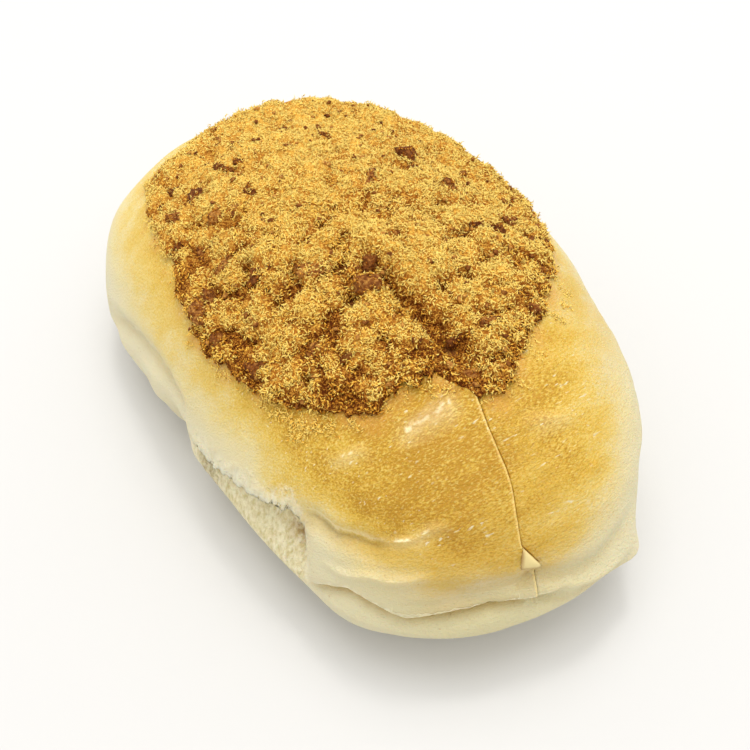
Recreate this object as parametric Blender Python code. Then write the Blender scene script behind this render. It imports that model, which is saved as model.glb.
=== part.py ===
"""A pork floss bun: a soft oblong milk bun, slit along its top, under a heap of pork floss.

Metres, +Z up.  The bun lies along Y with its slit end towards -Y, and the
origin is the bottom centre of its box.  A place on its skin is given by two
angles in degrees: the bearing round the crown, from +X through +Y, and the
lift, from -90 at the middle of the base to 90 at the crown.
"""
from collections import namedtuple
import math
import random

import bmesh
import bpy
import numpy as np
from mathutils import Matrix, Vector, noise

MM = 0.001

# ------------------------------------------------------------------ driving dimensions
HALF_LENGTH = 60.0 * MM
HALF_WIDTH = 39.0 * MM
HEIGHT = 44.0 * MM
WAIST = 12.7 * MM             # height of the widest level
BASE_SHARE = 0.91             # reach of the base, as a share of the waist's
LEAN = (0.13, 0.09)           # swell of the outline towards +X and +Y, as shares
CROWN = (3.2 * MM, 4.4 * MM)  # the crown's shift off the middle of the waist
CORNER_IN = 5.5 * MM          # how far the near right corner is drawn in, low down
CORNER_BEARING = 317.0
CORNER_WIDTH = 20.0
LOBE_OUT = 3.0 * MM           # the folded lobe of skin that sticks out beside that corner
LOBE_BEARING = 290.0
LOBE_WIDTH = 8.0
WAIST_SQUARE = 2.6            # superellipse powers of the plan, at the waist and crown
CROWN_SQUARE = 2.15
DOME_SQUARE = 2.12            # superellipse powers of the side view, above and below
FOOT_SQUARE = 5.0

# Creases and ridges of the skin: stops of (bearing, height in mm) along each line, its
# depth (a ridge's is below zero) and how far it fades above and below the line.
Crease = namedtuple("Crease", "stops depth above below")
CREASES = (
    Crease(((228, 14.0), (235, 17.4), (240, 17.1), (245, 16.3), (251, 17.4), (259, 18.6),
            (267, 17.4), (277, 15.5), (283, 15.4), (292, 14.0)), 2.0 * MM, 0.9 * MM, 2.6 * MM),
    Crease(((266, 21.8), (271, 19.7), (276, 18.8), (281, 19.0), (288, 19.4)), 1.1 * MM, 1.1 * MM, 1.8 * MM),
    Crease(((250, 21.8), (257, 22.3), (262, 22.3), (269, 21.6)), 0.6 * MM, 1.2 * MM, 1.6 * MM),
    Crease(((224, 24.6), (228, 25.2), (236, 25.4), (241, 25.9), (245, 27.2)), 0.8 * MM, 0.9 * MM, 1.8 * MM),
    Crease(((243, 26.8), (248, 28.0), (253, 29.2)), -0.6 * MM, 0.8 * MM, 0.8 * MM),
    Crease(((232, 19.4), (239, 21.7), (244, 22.5), (249, 23.4)), -0.7 * MM, 1.0 * MM, 1.0 * MM),
    Crease(((231, 32.3), (240, 34.8), (248, 36.6), (258, 37.2)), -0.6 * MM, 0.8 * MM, 0.8 * MM),
    Crease(((277, 36.0), (281, 35.4), (287, 34.0)), -0.6 * MM, 0.7 * MM, 0.7 * MM),
    Crease(((130, 19.0), (143, 21.2), (154, 22.8), (161, 23.1), (172, 20.5)), 1.1 * MM, 1.2 * MM, 2.6 * MM),
)
CREASE_FADE = 4.0             # degrees over which the ends of a crease fade out

# Broad dents and swellings (depth below zero) of the wall
Dent = namedtuple("Dent", "bearing height across tall depth")
DENTS = (
    Dent(165, 11 * MM, 7, 7 * MM, 3.4 * MM),
    Dent(117, 21 * MM, 8, 6 * MM, -1.0 * MM),
    Dent(80, 30 * MM, 14, 8 * MM, 0.9 * MM),
    Dent(293, 13 * MM, 4, 4 * MM, 1.8 * MM),
    Dent(304, 22 * MM, 7, 8 * MM, -0.9 * MM),
    Dent(335, 28 * MM, 9, 8 * MM, 1.4 * MM),
)

# The slit: its bearing at each lift, and its two lips
SEAM_LIFTS = (0, 15, 22, 31, 42, 55, 64, 69, 75, 83, 90)
SEAM_BEARINGS = (267.5, 267, 266.5, 267.5, 268, 268, 269, 268, 263, 256, 250)
SEAM_DEPTH = 1.5 * MM
SEAM_WIDTH = 0.35 * MM
SEAM_LIP = 0.5 * MM           # the left lip stands this much above the right one
SEAM_LIP_WIDTH = 1.6 * MM
SEAM_ENDS = (9.0, 82.0)       # lifts between which it is open
SEAM_FADES = (3.0, 3.0)
SEAM_SIDES = 60.0             # bearings further from it than this belong to the far end
FLAP_LIFT = 19.0              # a corner of the left lip, lifted
FLAP_SIZE = 3.2 * MM
FLAP_RISE = 1.3 * MM

# The wall torn from the next bun, on the left: upper lip and foot of the torn pocket
TEAR_LIP = ((176, 13.0), (181, 14.6), (189, 16.0), (195, 17.6), (203, 19.4), (210, 21.6),
            (220, 23.4), (223, 23.4), (226, 21.6), (229, 17.0))
TEAR_FOOT = 10.5 * MM
TEAR_DEPTH = 1.9 * MM
TEAR_ENDS = (184.0, 226.0)
TEAR_FADES = (9.0, 2.5)
TEAR_BROW = 0.14              # share of the pocket's height over which the lip turns in

# The wall torn on the right, shallow and lumpy
RIGHT_TEAR_ENDS = (323.0, 403.0)
RIGHT_TEAR_FADES = (10.0, 10.0)
RIGHT_TEAR_HEIGHTS = (3.5 * MM, 23.5 * MM)
RIGHT_TEAR_SOFT = (1.5 * MM, 1.5 * MM)
RIGHT_TEAR_DEPTH = 1.1 * MM
RIGHT_TEAR_LUMPS = 6 * MM

# The floss: the lift of its edge at each bearing, its thickness and its pieces
FLOSS_BEARINGS = (0, 30, 60, 87, 100, 108, 115, 124, 142, 152, 170, 188, 207, 218,
                  230, 241, 248, 257, 264, 269, 273, 280, 287, 300, 315, 329, 345, 360)
FLOSS_LIFTS = (37, 39, 41, 43, 45, 40, 36, 40, 43, 41, 36, 37, 40, 42,
               47, 50, 56, 59, 58, 54, 52, 55, 57, 55, 51, 46, 40, 37)
BED_SINK = 3.2 * MM           # the skin is pressed in this much under the floss
BED_FADE = 12.0
FLOSS_GAP = 0.6 * MM
FLOSS_EDGE = 0.9 * MM         # thickness at its edge and inside
FLOSS_THICK = 3.0 * MM
FLOSS_UNEVEN = 0.9 * MM
FLOSS_UNEVEN_PITCH = 7 * MM
FLOSS_RAGGED = 1.6            # degrees that the edge wanders in and out
FLOSS_RAGGED_PITCH = 0.11     # of the wander, round a circle of radius 1
CREVICE_WIDTH = 1.7 * MM      # the gap that the slit leaves in the floss
CREVICE_SHARE = 0.72
CLUMPS = 104
CLUMP_SIZES = (1.6 * MM, 3.3 * MM)
TUFT_SUNK = 0.4               # share of the floss's thickness that a tuft may reach down
TUFT_CLEAR = 3 * MM           # tufts stay this far from the crevice
TUFT_INSET = 1.5              # degrees, and from the edge
TUFT_ROUGH = 0.15
TUFT_LONG, TUFT_FLAT = 1.25, 0.8
RIM_SHRINK = 0.4              # tufts at the edge are smaller by this share

# Meshes
BUN_COLUMNS, BUN_ROWS = 92, 40
FLOSS_COLUMNS, FLOSS_ROWS = 60, 16
STEP = 0.5                    # degrees, for the slope of the skin
SEED = 11


# ------------------------------------------------------------------ small helpers
def smooth(low, high, value):
    """0 below low, 1 above high, and a smooth step between."""
    share = np.clip((value - low) / (high - low), 0, 1)
    return share * share * (3 - 2 * share)


def turn(angle):
    """An angle difference in degrees, brought into -180 to 180."""
    return (angle + 180) % 360 - 180


def hump(value, width):
    return np.exp(-(value / width) ** 2)


def between(ends, softness, value):
    """1 between two ends and 0 outside them, with soft steps that are centred on the ends."""
    rise = smooth(ends[0] - softness[0], ends[0] + softness[0], value)
    return rise * (1 - smooth(ends[1] - softness[1], ends[1] + softness[1], value))


def lumpiness(points, pitch):
    """Smooth noise between about -1 and 1, with lumps of the given pitch."""
    return np.array([noise.noise(Vector(point) / pitch) for point in points])


# ------------------------------------------------------------------ the bun's plain form
def plain_form(bearing, lift):
    """Points of the smooth bun, before creases, as an array of XYZ rows."""
    angle = np.radians(bearing)
    rise = np.abs(np.sin(np.radians(lift)))
    reach = np.maximum(np.cos(np.radians(lift)), 0)
    above = lift >= 0
    power = np.where(above, 2 / DOME_SQUARE, 2 / FOOT_SQUARE)
    level = rise ** power
    square = np.where(above, WAIST_SQUARE + (CROWN_SQUARE - WAIST_SQUARE) * level, WAIST_SQUARE)
    across = np.abs(np.cos(angle)) / HALF_WIDTH
    along = np.abs(np.sin(angle)) / HALF_LENGTH
    radius = (across ** square + along ** square) ** (-1 / square)
    radius = radius * (1 + LEAN[0] * np.cos(angle) + LEAN[1] * np.sin(angle))
    low_down = np.where(above, np.clip(1 - 2 * level, 0, 1), 1)
    radius = radius - low_down * CORNER_IN * hump(turn(bearing - CORNER_BEARING), CORNER_WIDTH)
    radius = radius + low_down ** 3 * LOBE_OUT * hump(turn(bearing - LOBE_BEARING), LOBE_WIDTH)
    radius = radius * reach ** power * np.where(above, 1, 1 - (1 - BASE_SHARE) * level)
    shift = np.where(above, level, 0)
    height = np.where(above, WAIST + (HEIGHT - WAIST) * level, WAIST * (1 - 1.05 * level))
    return np.stack((radius * np.cos(angle) + CROWN[0] * shift,
                     radius * np.sin(angle) + CROWN[1] * shift,
                     np.maximum(height, 0)), axis=-1)


def outward(bearing, lift):
    """Unit normals of the smooth bun."""
    lift = np.clip(lift, -89, 89)
    around = plain_form(bearing + STEP, lift) - plain_form(bearing - STEP, lift)
    up = plain_form(bearing, lift + STEP) - plain_form(bearing, lift - STEP)
    normal = np.cross(around, up)
    return normal / np.linalg.norm(normal, axis=-1, keepdims=True)


# ------------------------------------------------------------------ relief of the skin
def seam_bearing(lift):
    return np.interp(lift, SEAM_LIFTS, SEAM_BEARINGS)


def seam_distance(bearing, lift):
    """Metres to the slit, along the skin: below zero on its left."""
    radius = HALF_LENGTH * np.cos(np.radians(np.clip(lift, 0, 90)))
    return np.radians(turn(bearing - seam_bearing(lift))) * radius


def seam_relief(bearing, lift):
    gap = seam_distance(bearing, lift)
    near = np.abs(turn(bearing - seam_bearing(lift))) < SEAM_SIDES
    fade = near * between(SEAM_ENDS, SEAM_FADES, lift)
    lips = np.where(gap < 0, 0.5, -0.5) * SEAM_LIP * hump(gap, SEAM_LIP_WIDTH)
    along = np.abs(lift - FLAP_LIFT) * HALF_LENGTH * math.radians(1)
    flap = FLAP_RISE * np.clip(1 - along / FLAP_SIZE, 0, 1) * np.clip(1 + gap / FLAP_SIZE, 0, 1) * (gap < 0)
    return fade * (lips - SEAM_DEPTH * hump(gap, SEAM_WIDTH) + flap)


def crease_relief(crease, bearing, height):
    stops = np.array(crease.stops)
    line = np.interp(bearing, stops[:, 0], stops[:, 1]) * MM
    gap = height - line
    fade = between(stops[[0, -1], 0], (CREASE_FADE, CREASE_FADE), bearing)
    profile = np.where(gap > 0, hump(gap, crease.above), hump(gap, crease.below))
    return -crease.depth * fade * profile


def dent_relief(dent, bearing, height):
    across = hump(turn(bearing - dent.bearing), dent.across)
    return -dent.depth * across * hump(height - dent.height, dent.tall)


def tear_relief(bearing, height):
    """The torn pocket: deepest just under its lip, running out to its foot."""
    stops = np.array(TEAR_LIP)
    lip = np.interp(bearing, stops[:, 0], stops[:, 1]) * MM
    share = (lip - height) / np.maximum(lip - TEAR_FOOT, 2 * MM)
    profile = smooth(0, TEAR_BROW, share) * np.clip(1 - share, 0, 1)
    fade = between(TEAR_ENDS, TEAR_FADES, bearing)
    return -TEAR_DEPTH * fade * profile


def right_tear_relief(bearing, points):
    round_right = np.where(bearing < 180, bearing + 360, bearing)
    fade = between(RIGHT_TEAR_ENDS, RIGHT_TEAR_FADES, round_right)
    band = between(RIGHT_TEAR_HEIGHTS, RIGHT_TEAR_SOFT, points[:, 2])
    lumps = lumpiness(points, RIGHT_TEAR_LUMPS)
    return -RIGHT_TEAR_DEPTH * fade * band * (1 + lumps)


def floss_edge(bearing):
    return np.interp(bearing % 360, FLOSS_BEARINGS, FLOSS_LIFTS)


def skin(bearing, lift):
    """The bun's finished surface."""
    points = plain_form(bearing, lift)
    height = points[:, 2]
    relief = seam_relief(bearing, lift) + tear_relief(bearing, height) + right_tear_relief(bearing, points)
    for crease in CREASES:
        relief = relief + crease_relief(crease, bearing, height)
    for dent in DENTS:
        relief = relief + dent_relief(dent, bearing, height)
    edge = floss_edge(bearing)
    relief = relief - BED_SINK * smooth(edge, edge + BED_FADE, lift)
    relief = relief * smooth(0, 3 * MM, height)
    return points + relief[:, None] * outward(bearing, lift)


# ------------------------------------------------------------------ meshes from a sphere
def spread(count, start, end, crowding):
    """Angles from start to end, closer together where crowding is high."""
    fine = np.linspace(start, end, 4001)
    weight = 1 + sum(extra * hump(fine - place, width) for place, width, extra in crowding)
    total = np.concatenate(([0], np.cumsum((weight[1:] + weight[:-1]) / 2)))
    return np.interp(np.linspace(0, total[-1], count), total, fine)


def sphere_angles(mesh, columns, rows, bearings, lifts):
    """The bearing and lift of each vertex of a UV sphere, on the given uneven grid."""
    coords = np.empty(len(mesh.vertices) * 3)
    mesh.vertices.foreach_get("co", coords)
    coords = coords.reshape(-1, 3)
    column = np.degrees(np.arctan2(coords[:, 1], coords[:, 0])) % 360 / 360 * columns
    row = (np.degrees(np.arcsin(np.clip(coords[:, 2], -1, 1))) + 90) / 180 * rows
    bearing = np.interp(np.round(column), np.arange(columns + 1), bearings)
    return bearing, np.interp(np.round(row), np.arange(rows + 1), lifts)


def follow_seam(bearing, lift):
    """Bends the columns of the grid so that one runs along the slit."""
    bend = seam_bearing(lift) - SEAM_BEARINGS[0]
    return bearing + bend * hump(bearing - SEAM_BEARINGS[0], 25.0)


def uv_sphere(name, columns, rows):
    mesh = bpy.data.meshes.new(name)
    shape = bmesh.new()
    bmesh.ops.create_uvsphere(shape, u_segments=columns, v_segments=rows, radius=1.0)
    shape.to_mesh(mesh)
    shape.free()
    return mesh


def set_points(mesh, points):
    mesh.vertices.foreach_set("co", points.reshape(-1))
    mesh.update()
    mesh.shade_smooth()


# ------------------------------------------------------------------ materials and objects
def material(name, color, roughness):
    new = bpy.data.materials.new(name)
    new.use_nodes = True
    shader = new.node_tree.nodes["Principled BSDF"]
    shader.inputs["Base Color"].default_value = (*color, 1)
    shader.inputs["Roughness"].default_value = roughness
    shader.inputs["Metallic"].default_value = 0.0
    return new


def add_object(name, mesh, collection, finish):
    new = bpy.data.objects.new(name, mesh)
    mesh.materials.append(finish)
    collection.objects.link(new)
    return new


# ------------------------------------------------------------------ the two pieces
def make_bun(collection):
    """The bun, moved to stand over the origin, and the middle of its box before that move."""
    mesh = uv_sphere("bun", BUN_COLUMNS, BUN_ROWS)
    seam, tear = SEAM_BEARINGS[0], sum(TEAR_ENDS) / 2
    bearings = spread(BUN_COLUMNS + 1, 0, 360, ((seam, 1.6, 9), (seam, 25, 0.5), (tear, 24, 0.9)))
    lifts = spread(BUN_ROWS + 1, -90, 90, ((5, 9, 2.2), (18, 9, 0.8), (-75, 20, -0.7)))
    bearing, lift = sphere_angles(mesh, BUN_COLUMNS, BUN_ROWS, bearings, lifts)
    bearing = follow_seam(bearing, lift)
    points = skin(bearing, lift)
    centre = (points.min(axis=0) + points.max(axis=0)) / 2 * (1, 1, 0)
    set_points(mesh, points - centre)
    add_object("bun", mesh, collection, material("golden_crust", (0.72, 0.45, 0.13), 0.45))
    return centre


def floss_thickness(bearing, lift, edge):
    inside = smooth(edge, edge + BED_FADE, lift)
    points = plain_form(bearing, lift)
    uneven = FLOSS_UNEVEN * lumpiness(points, FLOSS_UNEVEN_PITCH)
    body = FLOSS_EDGE + (FLOSS_THICK - FLOSS_EDGE + uneven) * inside
    gap = seam_distance(bearing, lift)
    near = np.abs(turn(bearing - seam_bearing(lift))) < SEAM_SIDES
    crevice = near * hump(gap, CREVICE_WIDTH) * between(SEAM_ENDS, SEAM_FADES, lift)
    return body * (1 - CREVICE_SHARE * crevice)


def ragged_edge(bearing):
    rim = np.stack((np.cos(np.radians(bearing)), np.sin(np.radians(bearing)), 0 * bearing), axis=-1)
    return floss_edge(bearing) + FLOSS_RAGGED * lumpiness(rim, FLOSS_RAGGED_PITCH)


def floss_core(collection, centre, finish):
    mesh = uv_sphere("floss", FLOSS_COLUMNS, FLOSS_ROWS)
    seam = SEAM_BEARINGS[0]
    bearings = spread(FLOSS_COLUMNS + 1, 0, 360, ((seam, 5, 3.0),))
    lifts = np.linspace(-90, 90, FLOSS_ROWS + 1)
    bearing, side = sphere_angles(mesh, FLOSS_COLUMNS, FLOSS_ROWS, bearings, lifts)
    on_top = side > 0
    edge = ragged_edge(bearing)
    lift = edge + (90 - edge) * np.abs(side) / 90
    bearing = np.where(np.abs(side) < 90, follow_seam(bearing, lift), bearing)
    height = under_floss(bearing, lift) + np.where(on_top, floss_thickness(bearing, lift, edge), 0)
    points = plain_form(bearing, lift) + height[:, None] * outward(bearing, lift)
    set_points(mesh, points - centre)
    return add_object("floss", mesh, collection, finish)


def under_floss(bearing, lift):
    """The floss's lower face, just clear of the skin and of the slit's raised lip."""
    edge = floss_edge(bearing)
    lip = SEAM_LIP * hump(seam_distance(bearing, lift), 3 * SEAM_LIP_WIDTH)
    return FLOSS_GAP + lip - BED_SINK * smooth(edge, edge + BED_FADE, lift)


def clump(name, place, out, size, sunk, rng, collection, finish):
    """One tuft: a lumpy, slightly flat ball that reaches no deeper than sunk."""
    mesh = bpy.data.meshes.new(name)
    shape = bmesh.new()
    bmesh.ops.create_icosphere(shape, subdivisions=1, radius=1.0)
    spin = Matrix.Rotation(rng.uniform(0, 2 * math.pi), 3, "Z")
    aim = out.to_track_quat("Z", "Y").to_matrix()
    for vertex in shape.verts:
        ball = vertex.co * rng.uniform(1 - TUFT_ROUGH, 1 + TUFT_ROUGH)
        ball.x *= TUFT_LONG
        ball.z = max(ball.z * TUFT_FLAT, -sunk / size)
        vertex.co = place + aim @ spin @ ball * size
    shape.to_mesh(mesh)
    shape.free()
    return add_object(name, mesh, collection, finish)


def even_bearings(shares):
    """Bearings that split the floss's footprint into equal areas, for shares of the whole turn."""
    around = np.linspace(0, 360, 361)
    reach = np.linalg.norm(plain_form(around, floss_edge(around))[:, :2] - CROWN, axis=1)
    area = np.cumsum(reach ** 2)
    return np.interp(shares * area[-1], area, around)


def make_floss(collection, centre):
    finish = material("pork_floss", (0.62, 0.33, 0.07), 0.85)
    core = floss_core(collection, centre, finish)
    tufts = bpy.data.collections.new("tufts")
    bpy.context.scene.collection.children.link(tufts)
    rng = random.Random(SEED)
    golden_share = (3 - math.sqrt(5)) / 2
    for index in range(CLUMPS):
        bearing = even_bearings(np.array([(index * golden_share + rng.uniform(-0.01, 0.01)) % 1]))
        edge = ragged_edge(bearing)
        share = math.sqrt((index + 0.5) / CLUMPS)
        lift = 90 - (90 - edge - TUFT_INSET) * share
        if abs(seam_distance(bearing, lift)[0]) < TUFT_CLEAR and lift[0] < SEAM_ENDS[1]:
            continue
        thick = floss_thickness(bearing, lift, edge)[0]
        out = Vector(outward(bearing, lift)[0])
        place = Vector(plain_form(bearing, lift)[0] - centre) + out * (under_floss(bearing, lift)[0] + thick)
        size = rng.uniform(*CLUMP_SIZES) * (1 - RIM_SHRINK * share ** 6)
        sunk = TUFT_SUNK * thick
        clump("tuft_%03d" % index, place, out, size, sunk, rng, tufts, finish)
    union = core.modifiers.new("tufts", "BOOLEAN")
    union.operation = "UNION"
    union.solver = "MANIFOLD"
    union.operand_type = "COLLECTION"
    union.collection = tufts
    apply_modifiers(core)
    keep_largest_body(core.data)
    for tuft in list(tufts.objects):
        bpy.data.objects.remove(tuft, do_unlink=True)
    bpy.data.collections.remove(tufts)


def apply_modifiers(target):
    evaluated = target.evaluated_get(bpy.context.evaluated_depsgraph_get())
    joined = bpy.data.meshes.new_from_object(evaluated)
    target.modifiers.clear()
    target.data = joined


def island(start):
    """All vertices joined to one by edges."""
    found, edge = {start}, [start]
    while edge:
        for link in edge.pop().link_edges:
            for vertex in link.verts:
                if vertex not in found:
                    found.add(vertex)
                    edge.append(vertex)
    return found


def keep_largest_body(mesh):
    """Drops tufts that touch nothing and the walls of sealed hollows."""
    shape = bmesh.new()
    shape.from_mesh(mesh)
    left, bodies = set(shape.verts), []
    while left:
        bodies.append(island(next(iter(left))))
        left -= bodies[-1]
    bodies.sort(key=len)
    scraps = [vertex for body in bodies[:-1] for vertex in body]
    bmesh.ops.delete(shape, geom=scraps, context="VERTS")
    shape.to_mesh(mesh)
    shape.free()


def main():
    for old in list(bpy.data.objects):
        bpy.data.objects.remove(old, do_unlink=True)
    collection = bpy.data.collections.new("pork_floss_bun")
    bpy.context.scene.collection.children.link(collection)
    centre = make_bun(collection)
    make_floss(collection, centre)


main()
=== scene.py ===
"""Pork floss bun: the fine surfaces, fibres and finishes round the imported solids.

Metres, +Z up.  A place on the bun's skin is given by two angles in degrees, as in the
solids: the bearing round the crown, from +X through +Y, and the lift, from -90 at the
middle of the base to 90 at the crown.
"""

from collections import namedtuple
import math
import random

import bmesh
import bpy
from mathutils import Matrix, Vector, noise
from mathutils.kdtree import KDTree
import numpy as np


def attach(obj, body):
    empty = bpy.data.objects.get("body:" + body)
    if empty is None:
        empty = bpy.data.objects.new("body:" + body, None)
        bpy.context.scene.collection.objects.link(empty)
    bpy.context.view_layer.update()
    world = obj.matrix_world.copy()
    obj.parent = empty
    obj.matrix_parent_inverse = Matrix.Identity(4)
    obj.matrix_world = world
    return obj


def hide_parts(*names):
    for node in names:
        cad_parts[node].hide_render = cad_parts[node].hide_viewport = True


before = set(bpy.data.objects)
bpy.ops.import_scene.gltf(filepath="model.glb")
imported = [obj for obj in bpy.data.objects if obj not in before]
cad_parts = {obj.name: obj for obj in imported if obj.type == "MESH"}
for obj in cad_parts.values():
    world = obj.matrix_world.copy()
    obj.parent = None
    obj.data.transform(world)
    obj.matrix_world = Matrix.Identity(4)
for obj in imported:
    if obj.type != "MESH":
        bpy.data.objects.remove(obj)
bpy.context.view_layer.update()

MM = 0.001
scene = bpy.context.scene
joined = np.concatenate

# ---- the bun's form, as in the solids
HALF_LENGTH = 60.0 * MM
HALF_WIDTH = 39.0 * MM
HEIGHT = 44.0 * MM
WAIST = 12.7 * MM
WAIST_SOFT = 3 * MM
BASE_SHARE = 0.91
LEAN = (0.13, 0.09)
CROWN = (3.2 * MM, 4.4 * MM)
CORNER_IN = 5.5 * MM
CORNER_BEARING = 317.0
CORNER_WIDTH = 20.0
LOBE_OUT = 3.0 * MM
LOBE_BEARING = 290.0
LOBE_WIDTH = 8.0
WAIST_SQUARE = 2.6
CROWN_SQUARE = 2.15
DOME_SQUARE = 2.12
FOOT_SQUARE = 5.0
CENTRE = (4.542 * MM, 5.512 * MM, 0)  # of the form's box, which stands over the origin

# Folds and ridges, in degrees and mm: stops of (bearing, height), depth (a ridge's is below zero), reach
# above and below the line, how far the upper side overhangs, and how it marks the skin: shade, the
# strength of the painted shade, shadow line and lip highlight along a fold, and pale, that of a ridge's
# pale streaky band and painted highlight
Crease = namedtuple("Crease", "stops depth above below over shade pale")
CREASES = (
    Crease(((228, 14), (235, 17.4), (240, 17.1), (245, 16.3), (251, 17.4), (259, 18.6),
            (267, 17.4), (270, 17)), 2.2, 0.5, 2.6, 0.9, 1, 0),
    Crease(((268, 16.6), (271, 15.4), (275, 14.2), (279, 13.6), (285, 13.4)), 0.8, 1.2, 2, 0.2, 0.3, 0),
    Crease(((267, 18.2), (271, 17.5), (275, 16.5), (279, 15.7), (284, 15.4)), -0.6, 1, 0.9, 0.2, 0, 0.5),
    Crease(((266, 21.8), (271, 19.9), (276, 19.4), (281, 19.6), (288, 20)), 0.8, 1, 1.8, 0.2, 0.3, 0),
    Crease(((250, 21.4), (257, 21.9), (262, 21.7), (268, 21)), 0.8, 1, 1.8, 0.2, 0.35, 0),
    Crease(((246, 18.9), (251, 19.3), (256, 19.9), (261, 19.8)), 0.7, 0.9, 1.4, 0.2, 0.3, 0),
    Crease(((224, 24.6), (228, 25.2), (232, 24.8), (236, 25.6), (241, 25.7), (243, 26.6)),
           1.2, 1, 1.8, 0.3, 0.6, 0),
    Crease(((242, 26.6), (245, 27.4), (247.5, 28), (249.5, 28.7), (252, 29.3)),
           -0.5, 0.3, 0.5, 0.3, 0, 0.75),
    Crease(((232, 19.4), (239, 21.7), (244, 22.5), (249, 23.4)), -0.7, 0.6, 0.9, 0.25, 0, 0.6),
    Crease(((231, 32.3), (234, 33.2), (238, 34.4)), -0.3, 0.4, 0.6, 0, 0, 0.7),
    Crease(((248, 36.5), (252, 37.2), (256, 37.8), (260, 38.3), (262, 38.5)),
           -0.15, 0.4, 0.9, 0.15, 0, 1),
    Crease(((277, 35.7), (279.5, 35.5), (282, 35.2), (285, 34.5)), -0.6, 0.3, 0.9, 0.15, 0, 0.5),
    Crease(((134, 15.5), (138, 17.5), (146, 20.8), (154, 22.2), (161, 22.4), (168, 21.6), (173, 20.6)),
           1.9, 1.8, 3, 0.2, 0.35, 0),
)
OVERHANG_RISE = 0.3 * MM
OVERHANG_REACH = 0.9 * MM
# A fold's painted shade, and a ridge's pale streaky band and painted highlight, reach this far from their
# lines
LINE_REACH = 2.2 * MM  # how far from its line a fold still marks the skin
RIDGE_REACH = 3.5 * MM
CREASE_FADE = 4.0
CREASE_WANDER = 0.35 * MM

# Soft round places, in degrees and mm; in all but DENTS depth is a share, not mm
Dent = namedtuple("Dent", "bearing height across tall depth")
DENTS = (
    Dent(117, 21, 8, 6, -1), Dent(126, 15, 6, 8, -0.4), Dent(149, 10, 7, 9, 1.7),
    Dent(164, 4.5, 8, 6, 2.4), Dent(165, 11, 7, 7, 3.2), Dent(173, 14, 3.5, 4, 1),
    Dent(80, 30, 14, 8, 0.9), Dent(222.5, 21, 2.5, 2.4, 1.8), Dent(266.6, 21.7, 1.6, 0.8, 0.6),
    Dent(291.5, 8, 8.5, 11, 3.8), Dent(288.5, 12, 4.5, 5, -1.3), Dent(236, 6, 8, 9, -1),
    Dent(299, 17.5, 5, 5, 0.7), Dent(309.5, 25.5, 6, 5, -0.4), Dent(325, 28.5, 7, 6, 0.5),
    Dent(335, 28, 9, 8, 0.7),
)
# Rusty stains at the tear's right end, and painted shade under the flake of crust beside the slit
STAINS_AND_SHADE = (Dent(222, 20.5, 3.4, 2.8, 1.0), Dent(266.8, 21.8, 1.5, 0.5, 0.8))
# Painted shadow in a recess under the tear's left end
SHADOWED_HOLLOW = (Dent(187.5, 14, 5.5, 3.4, 1.0),)
BLANCHED = (Dent(229, 20, 6, 4.5, 0.85), Dent(235, 33, 6, 1.8, 0.3),
            Dent(272.5, 32, 4, 2.5, 0.15), Dent(267, 25, 14, 4.5, -0.17))
# Painted shade with a browner tone: the crust darker and yellower here, most at the near end
SHADED_AND_TANNED = (Dent(258, 20, 23, 12, 1.0), Dent(320, 31, 30, 14, 0.6),
          Dent(175, 34, 40, 8, 0.35))
# Small round blisters (bearing, height in mm, radius in mm)
BLISTERS = ((284, 29.5, 0.8), (291, 37.2, 0.6), (294, 36.8, 0.7), (313, 37.5, 0.7), (305, 36.0, 0.6),
            (246, 31.0, 0.7), (214, 30.0, 0.6))

SEAM_LIFTS = (0, 4, 10, 15, 18, 20.5, 23.5, 28, 32, 37, 41, 47, 51, 55, 64, 69, 75, 83, 90)
SEAM_BEARINGS = (267.2, 267.2, 266.9, 267.3, 267.5, 266.6, 265.3, 265.6, 266, 266.7, 267.1, 267.2,
                 267.6, 268.3, 269, 268, 263, 256, 250)
SEAM_MIDDLE = 267.2
SEAM_DEPTH = 0.7 * MM
SEAM_WIDTH = 0.2 * MM
SEAM_LIP = 0.5 * MM
SEAM_LIP_WIDTH = 1.6 * MM
SEAM_OVER = 0.28 * MM  # the left lip reaches this far over the gap
SEAM_ENDS = (6.0, 82.0)
SEAM_FADES = (3.0, 3.0)
SEAM_SIDES = 60.0

TEAR_LIP = ((176, 17.2), (184, 17.5), (190, 17.9), (197, 19.0), (203, 19.8), (208, 20.9), (213, 21.8),
            (218, 23.4), (221.5, 24.0), (223.2, 23.4), (224.8, 21.2), (227.8, 16.5))
TEAR_FOOT = ((180, 9.5), (194, 9.5), (204, 10.0), (227, 10.5))
CRUMB_FOOT = ((180, 2.0), (204, 4.0), (214, 9.5), (227, 10.5))
TEAR_DEPTHS = ((180, 0.2), (192, 0.5), (200, 1.5), (207, 2.4), (227, 2.5))
TEAR_ENDS = (180.0, 225.3)
TEAR_MIDDLE = 206
TEAR_FADES = (6.0, 2.2)
TEAR_BROW = 0.09
TEAR_OVER = 1.1 * MM
TEAR_BAND = 2.2 * MM  # of white crumb that shows above the lip
WALL_ENDS = (301.0, 403.0)
WALL_FADES = (10.0, 10.0)
WALL_HEIGHTS = (3.5 * MM, 22.5 * MM)
WALL_SOFT = (1.5 * MM, 1.5 * MM)
WALL_DEPTH = 0.9 * MM
WALL_LUMPS = 6 * MM

# Browning, by bearing: the level of the crust's colour at the top, and the height it starts from
BAKE_BEARINGS = (0, 60, 120, 160, 190, 205, 220, 235, 250, 270, 280, 292, 305, 320, 360)
BAKE_LEVELS = (0.50, 0.50, 0.68, 0.70, 0.75, 0.82, 0.95, 1.0, 1.0, 0.94, 0.88, 0.76, 0.66, 0.58, 0.52)
BAKE_LOWS = (21, 19, 18, 18.5, 18.5, 19.5, 18, 17, 15.5, 15.5, 18, 21.5, 24, 22, 20)  # mm
BAKE_RISE = 17.0 * MM

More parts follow.
